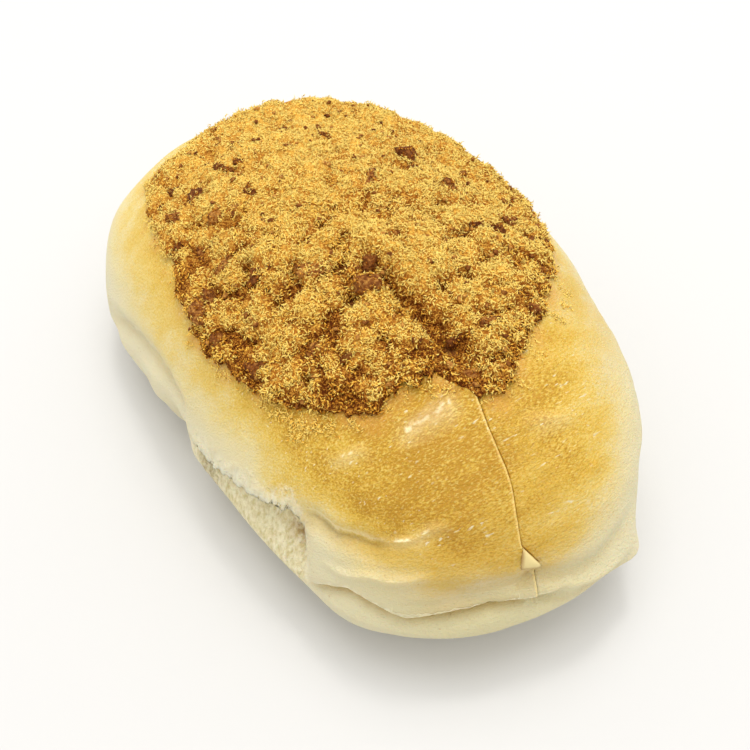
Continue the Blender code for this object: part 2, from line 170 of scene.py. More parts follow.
FLOSS_BEARINGS = (0, 30, 60, 87, 100, 108, 115, 124, 142, 152, 170, 188, 207, 218,
                  230, 241, 248, 257, 264, 269, 273, 280, 287, 300, 315, 329, 345, 360)
FLOSS_LIFTS = (37, 39, 41, 43, 45, 40, 36, 40, 43, 41, 36, 37, 40, 42,
               47, 50, 56, 59, 58, 54, 52, 55, 57, 56, 53, 48, 41.5, 37.5)
BED_SINK = 3.2 * MM
BED_FADE = 12.0
FLOSS_GAP = 0.25 * MM
FLOSS_EDGE = 0.5 * MM
FLOSS_THICK = 2.2 * MM
FLOSS_THIN = (50.0, 85.0, 0.6)  # thinner by this share round this bearing, over this width
FLOSS_UNEVEN = 0.9 * MM
FLOSS_UNEVEN_PITCH = 7 * MM
CREVICE_WIDTH = 1.5 * MM
CREVICE_SHARE = 0.85
STEP = 0.5

# ---- small helpers
def smooth(low, high, value):
    share = np.clip((value - low) / (high - low), 0, 1)
    return share * share * (3 - 2 * share)


def turn(angle):
    return (angle + 180) % 360 - 180


def hump(value, width):
    return np.exp(-(value / width) ** 2)


def between(ends, softness, value):
    rise = smooth(ends[0] - softness[0], ends[0] + softness[0], value)
    return rise * (1 - smooth(ends[1] - softness[1], ends[1] + softness[1], value))


def field(points, pitch, seed=0.0):
    """Smooth noise between about -1 and 1; the pitch may differ along each axis."""
    scaled = points / np.asarray(pitch) + seed
    return np.array([noise.noise(Vector(point)) for point in scaled])


def unit(vectors):
    return vectors / np.maximum(np.linalg.norm(vectors, axis=-1, keepdims=True), 1e-12)


# ---- form
def plain_form(bearing, lift):
    angle = np.radians(bearing)
    rise = np.abs(np.sin(np.radians(lift)))
    reach = np.maximum(np.cos(np.radians(lift)), 0)
    above = lift >= 0
    power = np.where(above, 2 / DOME_SQUARE, 2 / FOOT_SQUARE)
    level = rise ** power
    square = np.where(above, WAIST_SQUARE + (CROWN_SQUARE - WAIST_SQUARE) * level, WAIST_SQUARE)
    across = np.abs(np.cos(angle)) / HALF_WIDTH
    along = np.abs(np.sin(angle)) / HALF_LENGTH
    radius = (across ** square + along ** square) ** (-1 / square)
    radius = radius * (1 + LEAN[0] * np.cos(angle) + LEAN[1] * np.sin(angle))
    low_down = np.where(above, np.clip(1 - 2 * level, 0, 1), 1)
    radius = radius - low_down * CORNER_IN * hump(turn(bearing - CORNER_BEARING), CORNER_WIDTH)
    radius = radius + low_down ** 3 * LOBE_OUT * hump(turn(bearing - LOBE_BEARING), LOBE_WIDTH)
    radius = radius * reach ** power * np.where(above, 1, 1 - (1 - BASE_SHARE) * level)
    shift = np.where(above, level, 0)
    height = np.where(above, WAIST + (HEIGHT - WAIST) * level, WAIST * (1 - 1.05 * level))
    return np.stack((radius * np.cos(angle) + CROWN[0] * shift - CENTRE[0],
                     radius * np.sin(angle) + CROWN[1] * shift - CENTRE[1],
                     np.maximum(height, 0)), axis=-1)


def skin_axes(bearing, lift):
    """Unit vectors of the smooth form: along the bearing, up the skin, and outward."""
    lift = np.clip(lift, -89, 89)
    around = unit(plain_form(bearing + STEP, lift) - plain_form(bearing - STEP, lift))
    up = unit(plain_form(bearing, lift + STEP) - plain_form(bearing, lift - STEP))
    return around, up, unit(np.cross(around, up))


def seam_bearing(lift):
    return np.interp(lift, SEAM_LIFTS, SEAM_BEARINGS)


def seam(bearing, lift):
    """The signed distance to the slit's line, and 1 along the slit, falling to 0 past its ends."""
    off = turn(bearing - seam_bearing(lift))
    radius = HALF_LENGTH * np.cos(np.radians(np.clip(lift, 0, 90)))
    return np.radians(off) * radius, (np.abs(off) < SEAM_SIDES) * between(SEAM_ENDS, SEAM_FADES, lift)


def floss_edge(bearing):
    return np.interp(bearing % 360, FLOSS_BEARINGS, FLOSS_LIFTS)


def along(bearing, stops):
    """What stops of (bearing, value) give at each bearing."""
    return np.interp(bearing, *np.transpose(stops))


# Some marks carry painted light: shade and highlights along folds, ridges and the slit, shadow under the
# torn lip and in a recess, a browner shade most at the near end, and shade under the flake
STRENGTHS = ("bake", "wet", "tan", "fold", "ridge", "slit", "torn", "wall", "stain_and_shade", "lip_shadow", "hollow_shadow")
GAPS = ("fold", "ridge", "slit", "lip")
FAR = 8 * MM


def skin(bearing, lift):
    """The bread's finished surface, and what its finish reads: the strength of each mark, from
    0 to 1, and the signed distance in mm to the nearest line of each kind.
    """
    plain = plain_form(bearing, lift)
    around, up, out = skin_axes(bearing, lift)
    height = plain[:, 2]
    out[:, 2] *= 1 - hump(height - WAIST, WAIST_SOFT)  # level at the waist, a corner of the profile
    out = unit(out)
    wander = field(plain, 5 * MM, 3.1) + 0.5 * field(plain, 1.6 * MM, 7.7)
    marks = {name: np.zeros(len(bearing)) for name in STRENGTHS}
    gaps = {name: np.full(len(bearing), FAR) for name in GAPS}
    relief = np.zeros(len(bearing))
    sag = np.zeros(len(bearing))

    # folds and ridges
    for crease in CREASES:
        gap = height - (along(bearing, crease.stops) * MM + CREASE_WANDER * wander)
        first_last = crease.stops[0][0], crease.stops[-1][0]
        fade = between(first_last, (CREASE_FADE, CREASE_FADE), bearing)
        profile = np.where(gap > 0, hump(gap, crease.above * MM), hump(gap, crease.below * MM))
        relief -= crease.depth * MM * fade * profile
        sag += crease.over * MM * fade * hump(gap - OVERHANG_RISE, OVERHANG_REACH)
        for name, strength, reach in (("fold", crease.shade, LINE_REACH),
                                      ("ridge", crease.pale, RIDGE_REACH)):
            nearest = (np.abs(gap) < np.abs(gaps[name])) & (fade * strength > 0.02)
            gaps[name] = np.where(nearest, gap, gaps[name])
            marks[name] = np.where(nearest, strength * fade * hump(gap, reach), marks[name])
    relief -= spots(bearing, height, DENTS) * MM

    # the wall torn from the next bun: a ragged lip over a crumb pocket
    ragged = 0.7 * field(plain, (2.2 * MM, 2.2 * MM, 9 * MM), 1.3)
    ragged = ragged + 0.35 * field(plain, (0.8 * MM, 0.8 * MM, 5 * MM), 5.9)
    lip = along(bearing, TEAR_LIP) * MM + ragged * MM
    foot = along(bearing, TEAR_FOOT) * MM
    share = (lip - height) / np.maximum(lip - foot, 2 * MM)
    ends = between(TEAR_ENDS, TEAR_FADES, bearing)
    pocket = smooth(0, TEAR_BROW, share) * (1 - smooth(0.2, 1.0, share)) * ends
    crumb = field(plain, 2.4 * MM, 2.2) + 0.6 * field(plain, 1.1 * MM, 9.4)
    relief -= pocket * (along(bearing, TEAR_DEPTHS) + 0.4 * crumb) * MM
    above_lip = np.clip(height - lip, 0, None)
    sag += TEAR_OVER * ends * np.where(height > lip, hump(above_lip, 1.6 * MM), 0)
    band = ends * np.where(height > lip, hump(above_lip, TEAR_BAND), 0)
    strands = field(plain, (0.9 * MM, 0.9 * MM, 2.6 * MM), 4.3)
    relief += 0.4 * MM * band * strands
    crumb_foot = along(bearing, CRUMB_FOOT) * MM
    torn_ends = between(TEAR_ENDS, TEAR_FADES, bearing + 3 * wander * (bearing < 200))
    marks["torn"] = torn_ends * smooth(-1.5 * MM, 0.5 * MM, height - crumb_foot)
    gaps["lip"] = height - lip
    # painted shadow under the lip and in a recess, painted shade with a browner tone, and stains with
    # painted shade under the flake
    marks["lip_shadow"] = ends * (0.35 + 0.65 * smooth(196, 206, bearing)) * (height < lip)
    marks["hollow_shadow"] = spots(bearing, height, SHADOWED_HOLLOW) * (height < lip + 0.3 * MM)
    marks["tan"] = spots(bearing, height, SHADED_AND_TANNED)
    marks["stain_and_shade"] = spots(bearing, height, STAINS_AND_SHADE)

    # the right wall, shallow and lumpy
    round_right = np.where(bearing < 180, bearing + 360, bearing)
    right = between(WALL_ENDS, WALL_FADES, round_right)
    right = right * between(WALL_HEIGHTS, WALL_SOFT, height + 1.2 * MM * wander)
    relief -= right * (WALL_DEPTH * (1 + field(plain, WALL_LUMPS)) + 0.3 * MM * crumb)
    marks["wall"] = right

    # the slit
    gap, open_slit = seam(bearing, lift)
    gap = gap + 0.16 * MM * wander
    lips = np.where(gap < 0, 0.5, -0.5) * SEAM_LIP * hump(gap, SEAM_LIP_WIDTH)
    relief += open_slit * (lips - SEAM_DEPTH * hump(gap - 0.1 * MM, SEAM_WIDTH))
    over = open_slit * SEAM_OVER * np.where(gap < 0, hump(gap, 0.8 * MM), 0)
    marks["slit"] = open_slit * hump(gap, LINE_REACH)
    gaps["slit"] = gap

    # broad unevenness, fine wrinkles that run across the bun, and blisters
    relief += 0.3 * MM * field(plain, 12 * MM, 4.4) + 0.12 * MM * field(plain, 5 * MM, 8.8)
    rolls = hump(turn(bearing - 256), 32) * between((13 * MM, 31 * MM), (3 * MM, 4 * MM), height)
    relief += 0.3 * MM * rolls * field(plain, (13 * MM, 13 * MM, 3.2 * MM), 3.8)
    marks["bake"] = baked(bearing, plain, wander)
    top = smooth(17 * MM, 26 * MM, height) * (1 - np.maximum(marks["torn"] * (height < lip), right))
    fine = field(plain, (5.0 * MM, 1.3 * MM, 1.6 * MM), 6.6)
    finer = field(plain, (2.4 * MM, 0.7 * MM, 0.8 * MM), 2.9)
    relief += top * (0.09 * MM * fine + 0.04 * MM * finer)
    for place, high, radius in BLISTERS:
        centre = nearest_on_skin(place, high * MM)
        relief += 0.35 * radius * MM * hump(np.linalg.norm(plain - centre, axis=1), radius * MM)

    # the bed under the floss, and the sauce round its edge
    edge = floss_edge(bearing) + 1.2 * wander
    relief -= BED_SINK * smooth(edge, edge + BED_FADE, lift)
    rim = hump(lift - edge + 0.5, 3.0) * smooth(-0.25, 0.35, field(plain, 4 * MM, 5.1))
    marks["wet"] = np.clip(rim + smooth(edge, edge + 3, lift), 0, 1)
    relief += 0.12 * MM * rim

    free = smooth(0, 3 * MM, height)[:, None]  # the base stays flat
    points = plain + relief[:, None] * free * out - sag[:, None] * free * up + over[:, None] * around
    points[:, 2] = np.maximum(points[:, 2], 0)
    marks = {name: np.clip(value, 0, 1) for name, value in marks.items()}
    marks.update({name + "_gap": np.clip(gap, -FAR, FAR) / MM for name, gap in gaps.items()})
    return points, marks


def spots(bearing, height, dents):
    return sum(dent.depth * hump(turn(bearing - dent.bearing), dent.across)
               * hump(height - dent.height * MM, dent.tall * MM) for dent in dents)


def baked(bearing, plain, wander):
    level = np.interp(bearing % 360, BAKE_BEARINGS, BAKE_LEVELS)
    low = np.interp(bearing % 360, BAKE_BEARINGS, BAKE_LOWS) * MM
    height = plain[:, 2] + 1.3 * MM * field(plain, (9 * MM, 7 * MM, 7 * MM), 1.9) + 0.5 * MM * wander
    pale = spots(bearing, plain[:, 2], BLANCHED)
    return level * smooth(0, 1, (height - low) / BAKE_RISE) * (1 - pale)


def nearest_on_skin(bearing, height):
    lifts = np.linspace(0, 85, 400)
    line = plain_form(np.full(400, float(bearing)), lifts)
    return line[np.argmin(np.abs(line[:, 2] - height))]


# ---- meshes
def spread(count, fine, weight):
    total = joined(([0], np.cumsum((weight[1:] + weight[:-1]) / 2)))
    return np.interp(np.linspace(0, total[-1], count), total, fine)


def ball_faces(columns, rows):
    """Faces of a ball of rows + 1 rings of which the first and last are one point each."""
    faces = []
    last = 1 + (rows - 1) * columns
    for column in range(columns):
        after = (column + 1) % columns
        faces.append((0, 1 + after, 1 + column))
        for row in range(rows - 2):
            low, high = 1 + row * columns, 1 + (row + 1) * columns
            faces.append((low + column, low + after, high + after, high + column))
        top = 1 + (rows - 2) * columns
        faces.append((last, top + column, top + after))
    return faces


def ball_grid(bearings, lifts):
    """Bearing and lift of each point of such a ball, poles first and last."""
    inner = lifts[1:-1]
    bearing = joined(([0.0], np.tile(bearings, len(inner)), [0.0]))
    lift = joined(([lifts[0]], np.repeat(inner, len(bearings)), [lifts[-1]]))
    return bearing, lift


def add_object(name, data):
    thing = bpy.data.objects.new(name, data)
    scene.collection.objects.link(thing)
    return thing


def add_piece(name, points, faces, finish, marks=None):
    mesh = bpy.data.meshes.new(name)
    mesh.from_pydata(points.tolist(), [], faces)
    mesh.shade_smooth()
    for key, value in (marks or {}).items():
        mesh.attributes.new(key, "FLOAT", "POINT").data.foreach_set("value", value.astype(np.float32))
    mesh.materials.append(finish)
    piece = add_object(name, mesh)
    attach(piece, "root")
    return piece


# ---- finishes
def linear(*colour):
    """A display colour of 0 to 255 as linear RGBA."""
    shares = [value / 255 for value in colour]
    return tuple(c / 12.92 if c <= 0.04045 else ((c + 0.055) / 1.055) ** 2.4 for c in shares) + (1.0,)


class Nodes:
    """A short way to write a node tree."""

    def __init__(self, name):
        self.material = bpy.data.materials.new(name)
        self.material.use_nodes = True
        self.tree = self.material.node_tree
        self.shader = self.tree.nodes["Principled BSDF"]

    def add(self, kind, inputs=(), **settings):
        node = self.tree.nodes.new("ShaderNode" + kind)
        for key, value in settings.items():
            setattr(node, key, value)
        for key, value in dict(inputs).items():
            self.feed(node.inputs[key], value)
        return node

    def feed(self, socket, value):
        if isinstance(value, bpy.types.NodeSocket):
            self.tree.links.new(value, socket)
        else:
            socket.default_value = value

    def mark(self, name):
        return self.add("Attribute", attribute_name=name).outputs["Fac"]

    def noise(self, pitch, detail=2.0, stretch=(1, 1, 1), rough=0.5):
        """Noise of this pitch in mm, drawn out along an axis whose stretch is below 1."""
        where = self.add("TexCoord").outputs["Object"]
        if stretch != (1, 1, 1):
            where = self.add("Mapping", {"Vector": where, "Scale": stretch}).outputs["Vector"]
        return self.add("TexNoise", {"Vector": where, "Scale": 1 / (pitch * MM),
            "Detail": detail, "Roughness": rough}).outputs["Fac"]

    def math(self, operation, *values, clamp=False):
        node = self.add("Math", enumerate(values), operation=operation, use_clamp=clamp)
        return node.outputs[0]

    def span(self, value, low, high, to_low=0.0, to_high=1.0):
        return self.add("MapRange", {"Value": value, "From Min": low, "From Max": high,
            "To Min": to_low, "To Max": to_high}).outputs["Result"]

    def stripe(self, gap, middle, half_width):
        """1 where the gap is the middle, falling to 0 at half a width from it."""
        off = self.math("ABSOLUTE", self.math("SUBTRACT", gap, middle))
        return self.span(off, 0.0, half_width, 1.0, 0.0)

    def times(self, *values):
        product = values[0]
        for value in values[1:]:
            product = self.math("MULTIPLY", product, value)
        return product

    def ramp(self, value, *stops):
        node = self.add("ValToRGB", {"Fac": value})
        elements = node.color_ramp.elements
        while len(elements) < len(stops):
            elements.new(0.5)
        for element, (position, colour) in zip(elements, stops):
            element.position = position
            element.color = linear(*colour)
        return node.outputs["Color"]

    def mix(self, share, first, second, blend="MIX"):
        node = self.add("Mix", data_type="RGBA", blend_type=blend)
        for key, value in ((0, share), (6, first), (7, second)):
            self.feed(node.inputs[key], value)
        return node.outputs[2]

    def tint(self, colour, *layers):
        """The colour under layers of (share, display colour)."""
        for share, over in layers:
            colour = self.mix(share, colour, linear(*over))
        return colour

    def bump(self, height, distance, normal=None):
        inputs = {"Height": height, "Distance": distance * MM, "Strength": 1.0}
        if normal is not None:
            inputs["Normal"] = normal
        return self.add("Bump", inputs).outputs["Normal"]

    def set(self, **values):
        for key, value in values.items():
            self.feed(self.shader.inputs[key.replace("_", " ")], value)


# Colours as display values from 0 to 255; a list of stops has the level of each first
CRUST_STOPS = ((0.0, (243, 233, 194)), (0.25, (244, 225, 160)), (0.5, (241, 208, 106)),
               (0.75, (231, 187, 62)), (1.0, (204, 152, 26)))
# Painted glints and painted highlight dashes on the crust, and the sauce
GLINT, HIGHLIGHT_DASH, SAUCE = (254, 228, 122), (255, 244, 196), (232, 168, 70)
# Painted shade under a fold, its painted shadow line, and the painted highlight on its lip
FOLD_SHADE, FOLD_SHADOW_LINE, FOLD_LIP_HIGHLIGHT = (180, 148, 74), (128, 98, 40), (250, 241, 208)
# Painted shade below a big ridge, and the painted highlight along the top of a ridge
RIDGE_SHADE, RIDGE_HIGHLIGHT = (178, 126, 26), (253, 240, 194)
# A big ridge's pale streaky band: partly paler stretched skin, partly painted highlight
STREAK_AND_HIGHLIGHT_STOPS = ((0.45, (188, 144, 62)), (0.7, (220, 188, 122)))
# Painted shade in the slit, and the painted highlight on its left lip
SLIT_SHADE, SLIT_LIP_HIGHLIGHT = (156, 100, 32), (248, 218, 138)
CRUMB_STOPS = ((0.34, (210, 195, 138)), (0.6, (240, 230, 192)))
# White crumb above the torn lip, painted shadow under it, and painted shadow in a recess
CRUMB_BAND, CRUMB_LIP_SHADOW, CRUMB_HOLLOW_SHADOW = (236, 228, 196), (192, 168, 94), (150, 134, 92)
# Rusty stains, also painted as shade under the flake, and specks
RUST_AND_SHADE, SPECK = (166, 124, 62), (170, 118, 48)
FLAP_PALE, FLAP_RIM = (222, 202, 140), (150, 104, 44)
FUZZ = (255, 172, 52)
FLOSS_STOPS = ((0.0, (90, 34, 5)), (0.15, (160, 86, 18)), (0.35, (236, 170, 60)), (0.6, (255, 209, 90)),
               (1.0, (255, 226, 124)))
CORE_STOPS = ((0.0, (84, 38, 8)), (0.3, (158, 96, 30)), (0.65, (218, 160, 66)), (1.0, (244, 200, 92)))
LUMP_STOPS = ((0.0, (78, 38, 16)), (0.5, (136, 80, 36)), (1.0, (212, 152, 74)))
# Linear factors on the crust's colour: everywhere, and the painted shade with a browner tone on pale or
# baked crust where it is tanned
CRUST_DIM = (0.82, 0.82, 0.82, 1)
SHADE_TAN_PALE, SHADE_TAN_BAKED = (0.82, 0.81, 0.68, 1), (0.82, 0.79, 0.9, 1)


def crust_finish():
    n = Nodes("baked_crust")
    bake, wet, tan, fold, ridge, slit, torn = map(n.mark, STRENGTHS[:7])
    jitter = n.span(n.noise(1.0, 3.0), 0.3, 0.7, -0.22, 0.22)

    # browning, with its grain, painted glints, and pale dashes painted as highlights on small wrinkles
    grain = n.noise(0.3, 2.0, (0.5, 1, 1), 0.65)
    patches = n.noise(4.5, 3.0, (0.4, 1, 1))
    level = n.math("ADD", bake, n.times(n.span(patches, 0.3, 0.7, -0.16, 0.16), n.span(bake, 0.1, 0.5)))
    calm = n.span(tan, 0.0, 0.5, 1.0, 0.6)
    level = n.math("ADD", level, n.times(n.span(grain, 0.3, 0.7, -0.38, 0.38), bake, calm), clamp=True)
    glints = n.times(n.span(n.noise(0.3, 1.0, (0.45, 1, 1)), 0.55, 0.68), n.span(bake, 0.4, 0.8))
    highlight_dash = n.span(n.noise(0.42, 0.5, (0.28, 1, 1)), 0.68, 0.76)
    highlight_dash = n.times(highlight_dash, n.span(n.noise(3.0, 1.0, (0.5, 1, 1)), 0.45, 0.6), n.span(bake, 0.4, 0.7))
    colour = n.tint(n.ramp(level, *CRUST_STOPS), (n.times(glints, calm, 0.6), GLINT),
            (n.times(highlight_dash, 0.85), HIGHLIGHT_DASH), (n.times(wet, 0.5), SAUCE))
    colour = n.mix(1.0, colour, CRUST_DIM, "MULTIPLY")
    # painted shade with a browner tone: the crust made darker and yellower, most at the near end
    shade_and_tan_factor = n.mix(n.span(bake, 0.0, 0.35), SHADE_TAN_PALE, SHADE_TAN_BAKED)
    colour = n.mix(tan, colour, shade_and_tan_factor, "MULTIPLY")

    # painted shade, shadow lines and highlights along the folds, the ridges and the slit
    fold_gap = n.math("ADD", n.mark("fold_gap"), jitter)
    crisp = n.span(fold, 0.3, 0.8)
    colour = n.tint(colour, (n.times(fold, n.stripe(fold_gap, -1.3, 1.7), 0.9), FOLD_SHADE),
            (n.times(crisp, n.stripe(fold_gap, -0.35, 0.6), 0.8), FOLD_SHADOW_LINE),
            (n.times(crisp, n.stripe(fold_gap, 0.6, 0.45), 0.75), FOLD_LIP_HIGHLIGHT))
    broken = n.span(n.noise(1.1, 2.0), 0.36, 0.5, 0.25, 1.0)
    ridge_gap = n.math("ADD", n.mark("ridge_gap"), n.times(jitter, 0.5))
    # a big ridge: painted shade below it, its pale streaky band, partly painted highlight, and a painted
    # highlight along the top of each ridge
    streaks_and_highlight = n.ramp(n.noise(0.6, 3.0, (0.3, 1, 1)), *STREAK_AND_HIGHLIGHT_STOPS)
    wide = n.span(ridge, 0.72, 0.95)
    colour = n.tint(colour, (n.times(wide, n.stripe(ridge_gap, -2.3, 1.6)), RIDGE_SHADE))
    colour = n.mix(n.times(n.stripe(ridge_gap, 0.1, 0.9), wide), colour, streaks_and_highlight)
    crest_highlight = n.times(n.stripe(ridge_gap, 0.0, 0.28), broken, n.span(ridge, 0.52, 0.7))
    crest_highlight = n.math("MAXIMUM", crest_highlight, n.times(n.stripe(ridge_gap, -0.4, 1.2), ridge, 0.3))
    crest_highlight = n.times(crest_highlight, n.span(wide, 0.0, 1.0, 1.0, 0.6))
    # the slit: painted shade in it and a painted highlight on its left lip
    slit_gap = n.math("ADD", n.mark("slit_gap"), n.times(jitter, 0.4))
    colour = n.tint(colour, (crest_highlight, RIDGE_HIGHLIGHT),
            (n.times(slit, n.stripe(slit_gap, 0.14, 0.3), 0.85), SLIT_SHADE),
            (n.times(slit, n.stripe(slit_gap, -0.3, 0.26), 0.6), SLIT_LIP_HIGHLIGHT))

    # bare crumb where the walls are torn, painted shadow under the lip and in a recess, rusty stains with
    # painted shade under the flake, and specks
    ragged = n.span(n.noise(0.7, 3.0, (1, 1, 0.4)), 0.3, 0.7, -0.5, 0.5)
    lip_gap = n.math("ADD", n.mark("lip_gap"), ragged)
    bare = n.math("MAXIMUM", n.times(torn, n.span(lip_gap, -0.05, 0.12, 1.0, 0.0)), n.mark("wall"))
    band = n.times(torn, n.span(n.math("ADD", lip_gap, n.times(jitter, 4.0)), 0.2, 2.8, 1.0, 0.0))
    colour = n.tint(colour, (n.times(band, 0.9), CRUMB_BAND))
    strands = n.noise(0.8, 4.0, (1, 1, 0.45), 0.6)
    # painted shadow on the crumb just under the torn lip
    lip_shadow = n.times(n.mark("lip_shadow"), n.span(n.mark("lip_gap"), -3.2, 0.0, 0.0, 1.0))
    # painted shadow in the recess at the tear's left end
    hollow_shadow = n.times(n.mark("hollow_shadow"), n.span(strands, 0.3, 0.6, 1.0, 0.4))
    crumb = n.tint(n.ramp(strands, *CRUMB_STOPS), (n.times(lip_shadow, 0.8), CRUMB_LIP_SHADOW), (hollow_shadow, CRUMB_HOLLOW_SHADOW))
    # rusty stains at the tear's right end, and painted shade under the flake
    rust_and_shade = n.times(n.mark("stain_and_shade"), n.span(n.noise(0.9, 3.0, (1, 1, 0.5)), 0.38, 0.54))
    specks = n.span(n.noise(0.6, 0.0), 0.80, 0.84)
    colour = n.tint(n.mix(bare, colour, crumb), (n.times(rust_and_shade, 0.8), RUST_AND_SHADE), (n.times(specks, 0.3), SPECK))

    rough = n.math("SUBTRACT", n.span(bake, 0.2, 1.0, 0.7, 0.4), n.times(wet, 0.12))
    rough = n.math("ADD", rough, n.times(wide, 0.25))
    pores = n.noise(0.34, 2.0, (0.6, 1, 1), 0.6)
    crinkle = n.noise(1.1, 3.0, (0.3, 1, 1), 0.55)
    relief = n.bump(n.times(crinkle, n.span(bake, 0.15, 0.8, 0.3, 1.0)), 0.22)
    relief = n.bump(n.times(strands, n.math("MAXIMUM", bare, band)), 0.6, relief)
    n.set(Base_Color=colour, Roughness=rough, Normal=n.bump(pores, 0.3, relief),
          Subsurface_Weight=0.25, Subsurface_Radius=(1.0, 0.55, 0.25), Subsurface_Scale=0.0014,
          Specular_IOR_Level=0.35)
    return n.material


def floss_finish(name, stops, rough, grain, matted=0.0, fuzz=0.0, relief_size=0.12, mottle=0.12):
    """Dry meat fibre: its colour follows each piece's tone, which on the heap and its fibres carries
    painted shade and light, give or take the mottle.

    matted adds fibre-like lines and fuzz the pale rim of fine hairs; grain and relief_size are in mm.
    """
    n = Nodes(name)
    tone = n.math("ADD", n.mark("tone"), n.span(n.noise(grain, 2.0), 0.3, 0.7, -mottle, mottle))
    relief = n.noise(grain * 0.6, 3.0, rough=0.6)
    if matted:
        strands = n.math("ABSOLUTE", n.span(n.noise(0.55, 1.5), 0, 1, -0.5, 0.5))
        strands = n.span(strands, 0.0, 0.09, 1, 0)
        tone = n.math("ADD", tone, n.times(n.math("SUBTRACT", strands, 0.45), matted))
        relief = strands
    n.set(Base_Color=n.ramp(n.math("MAXIMUM", tone, 0.0), *stops), Roughness=rough,
          Specular_IOR_Level=0.06, Normal=n.bump(relief, relief_size), Sheen_Weight=fuzz,
          Sheen_Roughness=0.45, Sheen_Tint=linear(*FUZZ))
    return n.material


# ---- the bread
COLUMNS, ROWS = 480, 204
FOLDED_HEIGHTS = (12 * MM, 26 * MM)


def fine_bearings():
    """Bearings of the columns: closest at the slit, and close at the near end and the tear."""
    fine = np.linspace(0, 360, 7201)
    off = fine - SEAM_MIDDLE
    weight = 1 + 11 * hump(off, 1.6) + 1.3 * hump(off, 34) + 1.5 * hump(fine - TEAR_MIDDLE, 26)
    return spread(COLUMNS + 1, fine, weight)[:-1]


def fine_lifts():
    """Lifts at even steps along the side view, wider under the base and the floss."""
    fine = joined((-np.geomspace(90, 1e-4, 6000), np.linspace(0, 90, 6000)))
    line = plain_form(np.full(len(fine), 270.0), fine)
    step = np.linalg.norm(np.diff(line, axis=0), axis=1)
    middle = (fine[1:] + fine[:-1]) / 2
    height = line[1:, 2]
    folded = between(FOLDED_HEIGHTS, (2 * MM, 3 * MM), height) * (middle > 0)
    weight = step * np.where(height < 0.2 * MM, 0.06, np.where(middle > 62, 0.22, 0.8 + 0.9 * folded))
    total = joined(([0], np.cumsum(weight)))
    return np.interp(np.linspace(0, total[-1], ROWS + 1), total, fine)


def make_bread():
    bearing, lift = ball_grid(fine_bearings(), fine_lifts())
    bend = seam_bearing(lift) - SEAM_MIDDLE
    bearing = bearing + bend * hump(bearing - SEAM_MIDDLE, 25.0)
    points, marks = skin(bearing, lift)
    piece = add_piece("bread", points, ball_faces(COLUMNS, ROWS), crust_finish(), marks)
    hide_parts("bun")


# A torn flake of crust beside the slit: its corners (bearing, lift) and how far each stands off
FLAP = ((265.3, 23.8, 0.25), (268.1, 17.3, 0.9), (264.6, 18.0, 0.3))
FLAP_ROWS = 9
FLAP_THICK = 0.25 * MM


def make_flap():
    """A thin closed sheet of three corners, bulging a little, with a darker rim."""
    corners = np.array(FLAP)
    shares = np.array([(1 - row / FLAP_ROWS, (row - step) / FLAP_ROWS, step / FLAP_ROWS)
                       for row in range(FLAP_ROWS + 1) for step in range(row + 1)])
    bearing, lift, off = (shares @ corners).T
    base = skin(bearing, lift)[0]
    out = skin_axes(bearing, lift)[2]
    inner = 27 * shares.prod(axis=1)
    top = base + out * ((off + 0.35 * inner) * MM)[:, None]
    points = joined((top, top - out * FLAP_THICK))
    count = len(shares)
    at = {(row, step): row * (row + 1) // 2 + step
          for row in range(FLAP_ROWS + 1) for step in range(row + 1)}
    faces = []
    for row in range(FLAP_ROWS):
        for step in range(row + 1):
            faces.append((at[row, step], at[row + 1, step], at[row + 1, step + 1]))
            if step < row:
                faces.append((at[row, step], at[row + 1, step + 1], at[row, step + 1]))
    faces += [tuple(count + i for i in reversed(face)) for face in faces]
    left = [at[row, 0] for row in range(FLAP_ROWS + 1)]
    foot = [at[FLAP_ROWS, step] for step in range(1, FLAP_ROWS + 1)]
    right = [at[row, row] for row in range(FLAP_ROWS - 1, 0, -1)]
    ring = left + foot + right
    for here, after in zip(ring, ring[1:] + ring[:1]):
        faces.append((here, count + here, count + after, after))
    n = Nodes("flake_of_crust")
    rim = n.span(n.mark("rim"), 0.02, 0.13, 1.0, 0.0)
    speckle = n.span(n.noise(0.5, 2.0), 0.3, 0.7, 0.5, 1.0)
    colour = n.tint(linear(*FLAP_PALE), (n.times(rim, speckle, 0.7), FLAP_RIM))
    n.set(Base_Color=colour, Roughness=0.6, Specular_IOR_Level=0.4)
    edge = np.tile(shares.min(axis=1), 2)
    piece = add_piece("crust_flap", points, faces, n.material, {"rim": edge})
    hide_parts("bun")


# ---- the floss
TUFTS = 460
TUFT_SIZES = (1.3 * MM, 3.4 * MM)
TUFT_HEIGHT = 0.7
HOLES = ((245, 82, 2.0), (52, 82, 1.2), (36, 66, 1.6), (3, 69, 1.2), (234, 51, 1.3), (220, 50, 1.0),
         (231, 72, 1.3), (302, 70, 1.2), (160, 60, 1.0), (190, 60, 1.0), (272, 68, 1.8), (270, 63, 1.8))
CORE_COLUMNS, CORE_ROWS = 300, 100
CORE_UNDER = 8  # of those rows are under the heap
GOLDEN_SHARE = (3 - math.sqrt(5)) / 2
rng = random.Random(11)
draw = np.random.default_rng(11)


def full_share(bearing):
    place, width, share = FLOSS_THIN
    return 1 - share * hump(turn(bearing - place), width)


def floss_top(bearing, lift, edge):
    """Thickness of the pressed heap over the skin, without its tufts, and the crevice's share."""
    inside = smooth(edge, edge + 8, lift)
    plain = plain_form(bearing, lift)
    uneven = FLOSS_UNEVEN * field(plain, FLOSS_UNEVEN_PITCH)
    body = FLOSS_EDGE + (FLOSS_THICK * full_share(bearing) - FLOSS_EDGE + uneven) * inside
    gap, open_slit = seam(bearing, lift)
    gap = gap + 1.2 * MM * field(plain, 6 * MM, 2.5)
    return body, open_slit * hump(gap, CREVICE_WIDTH)


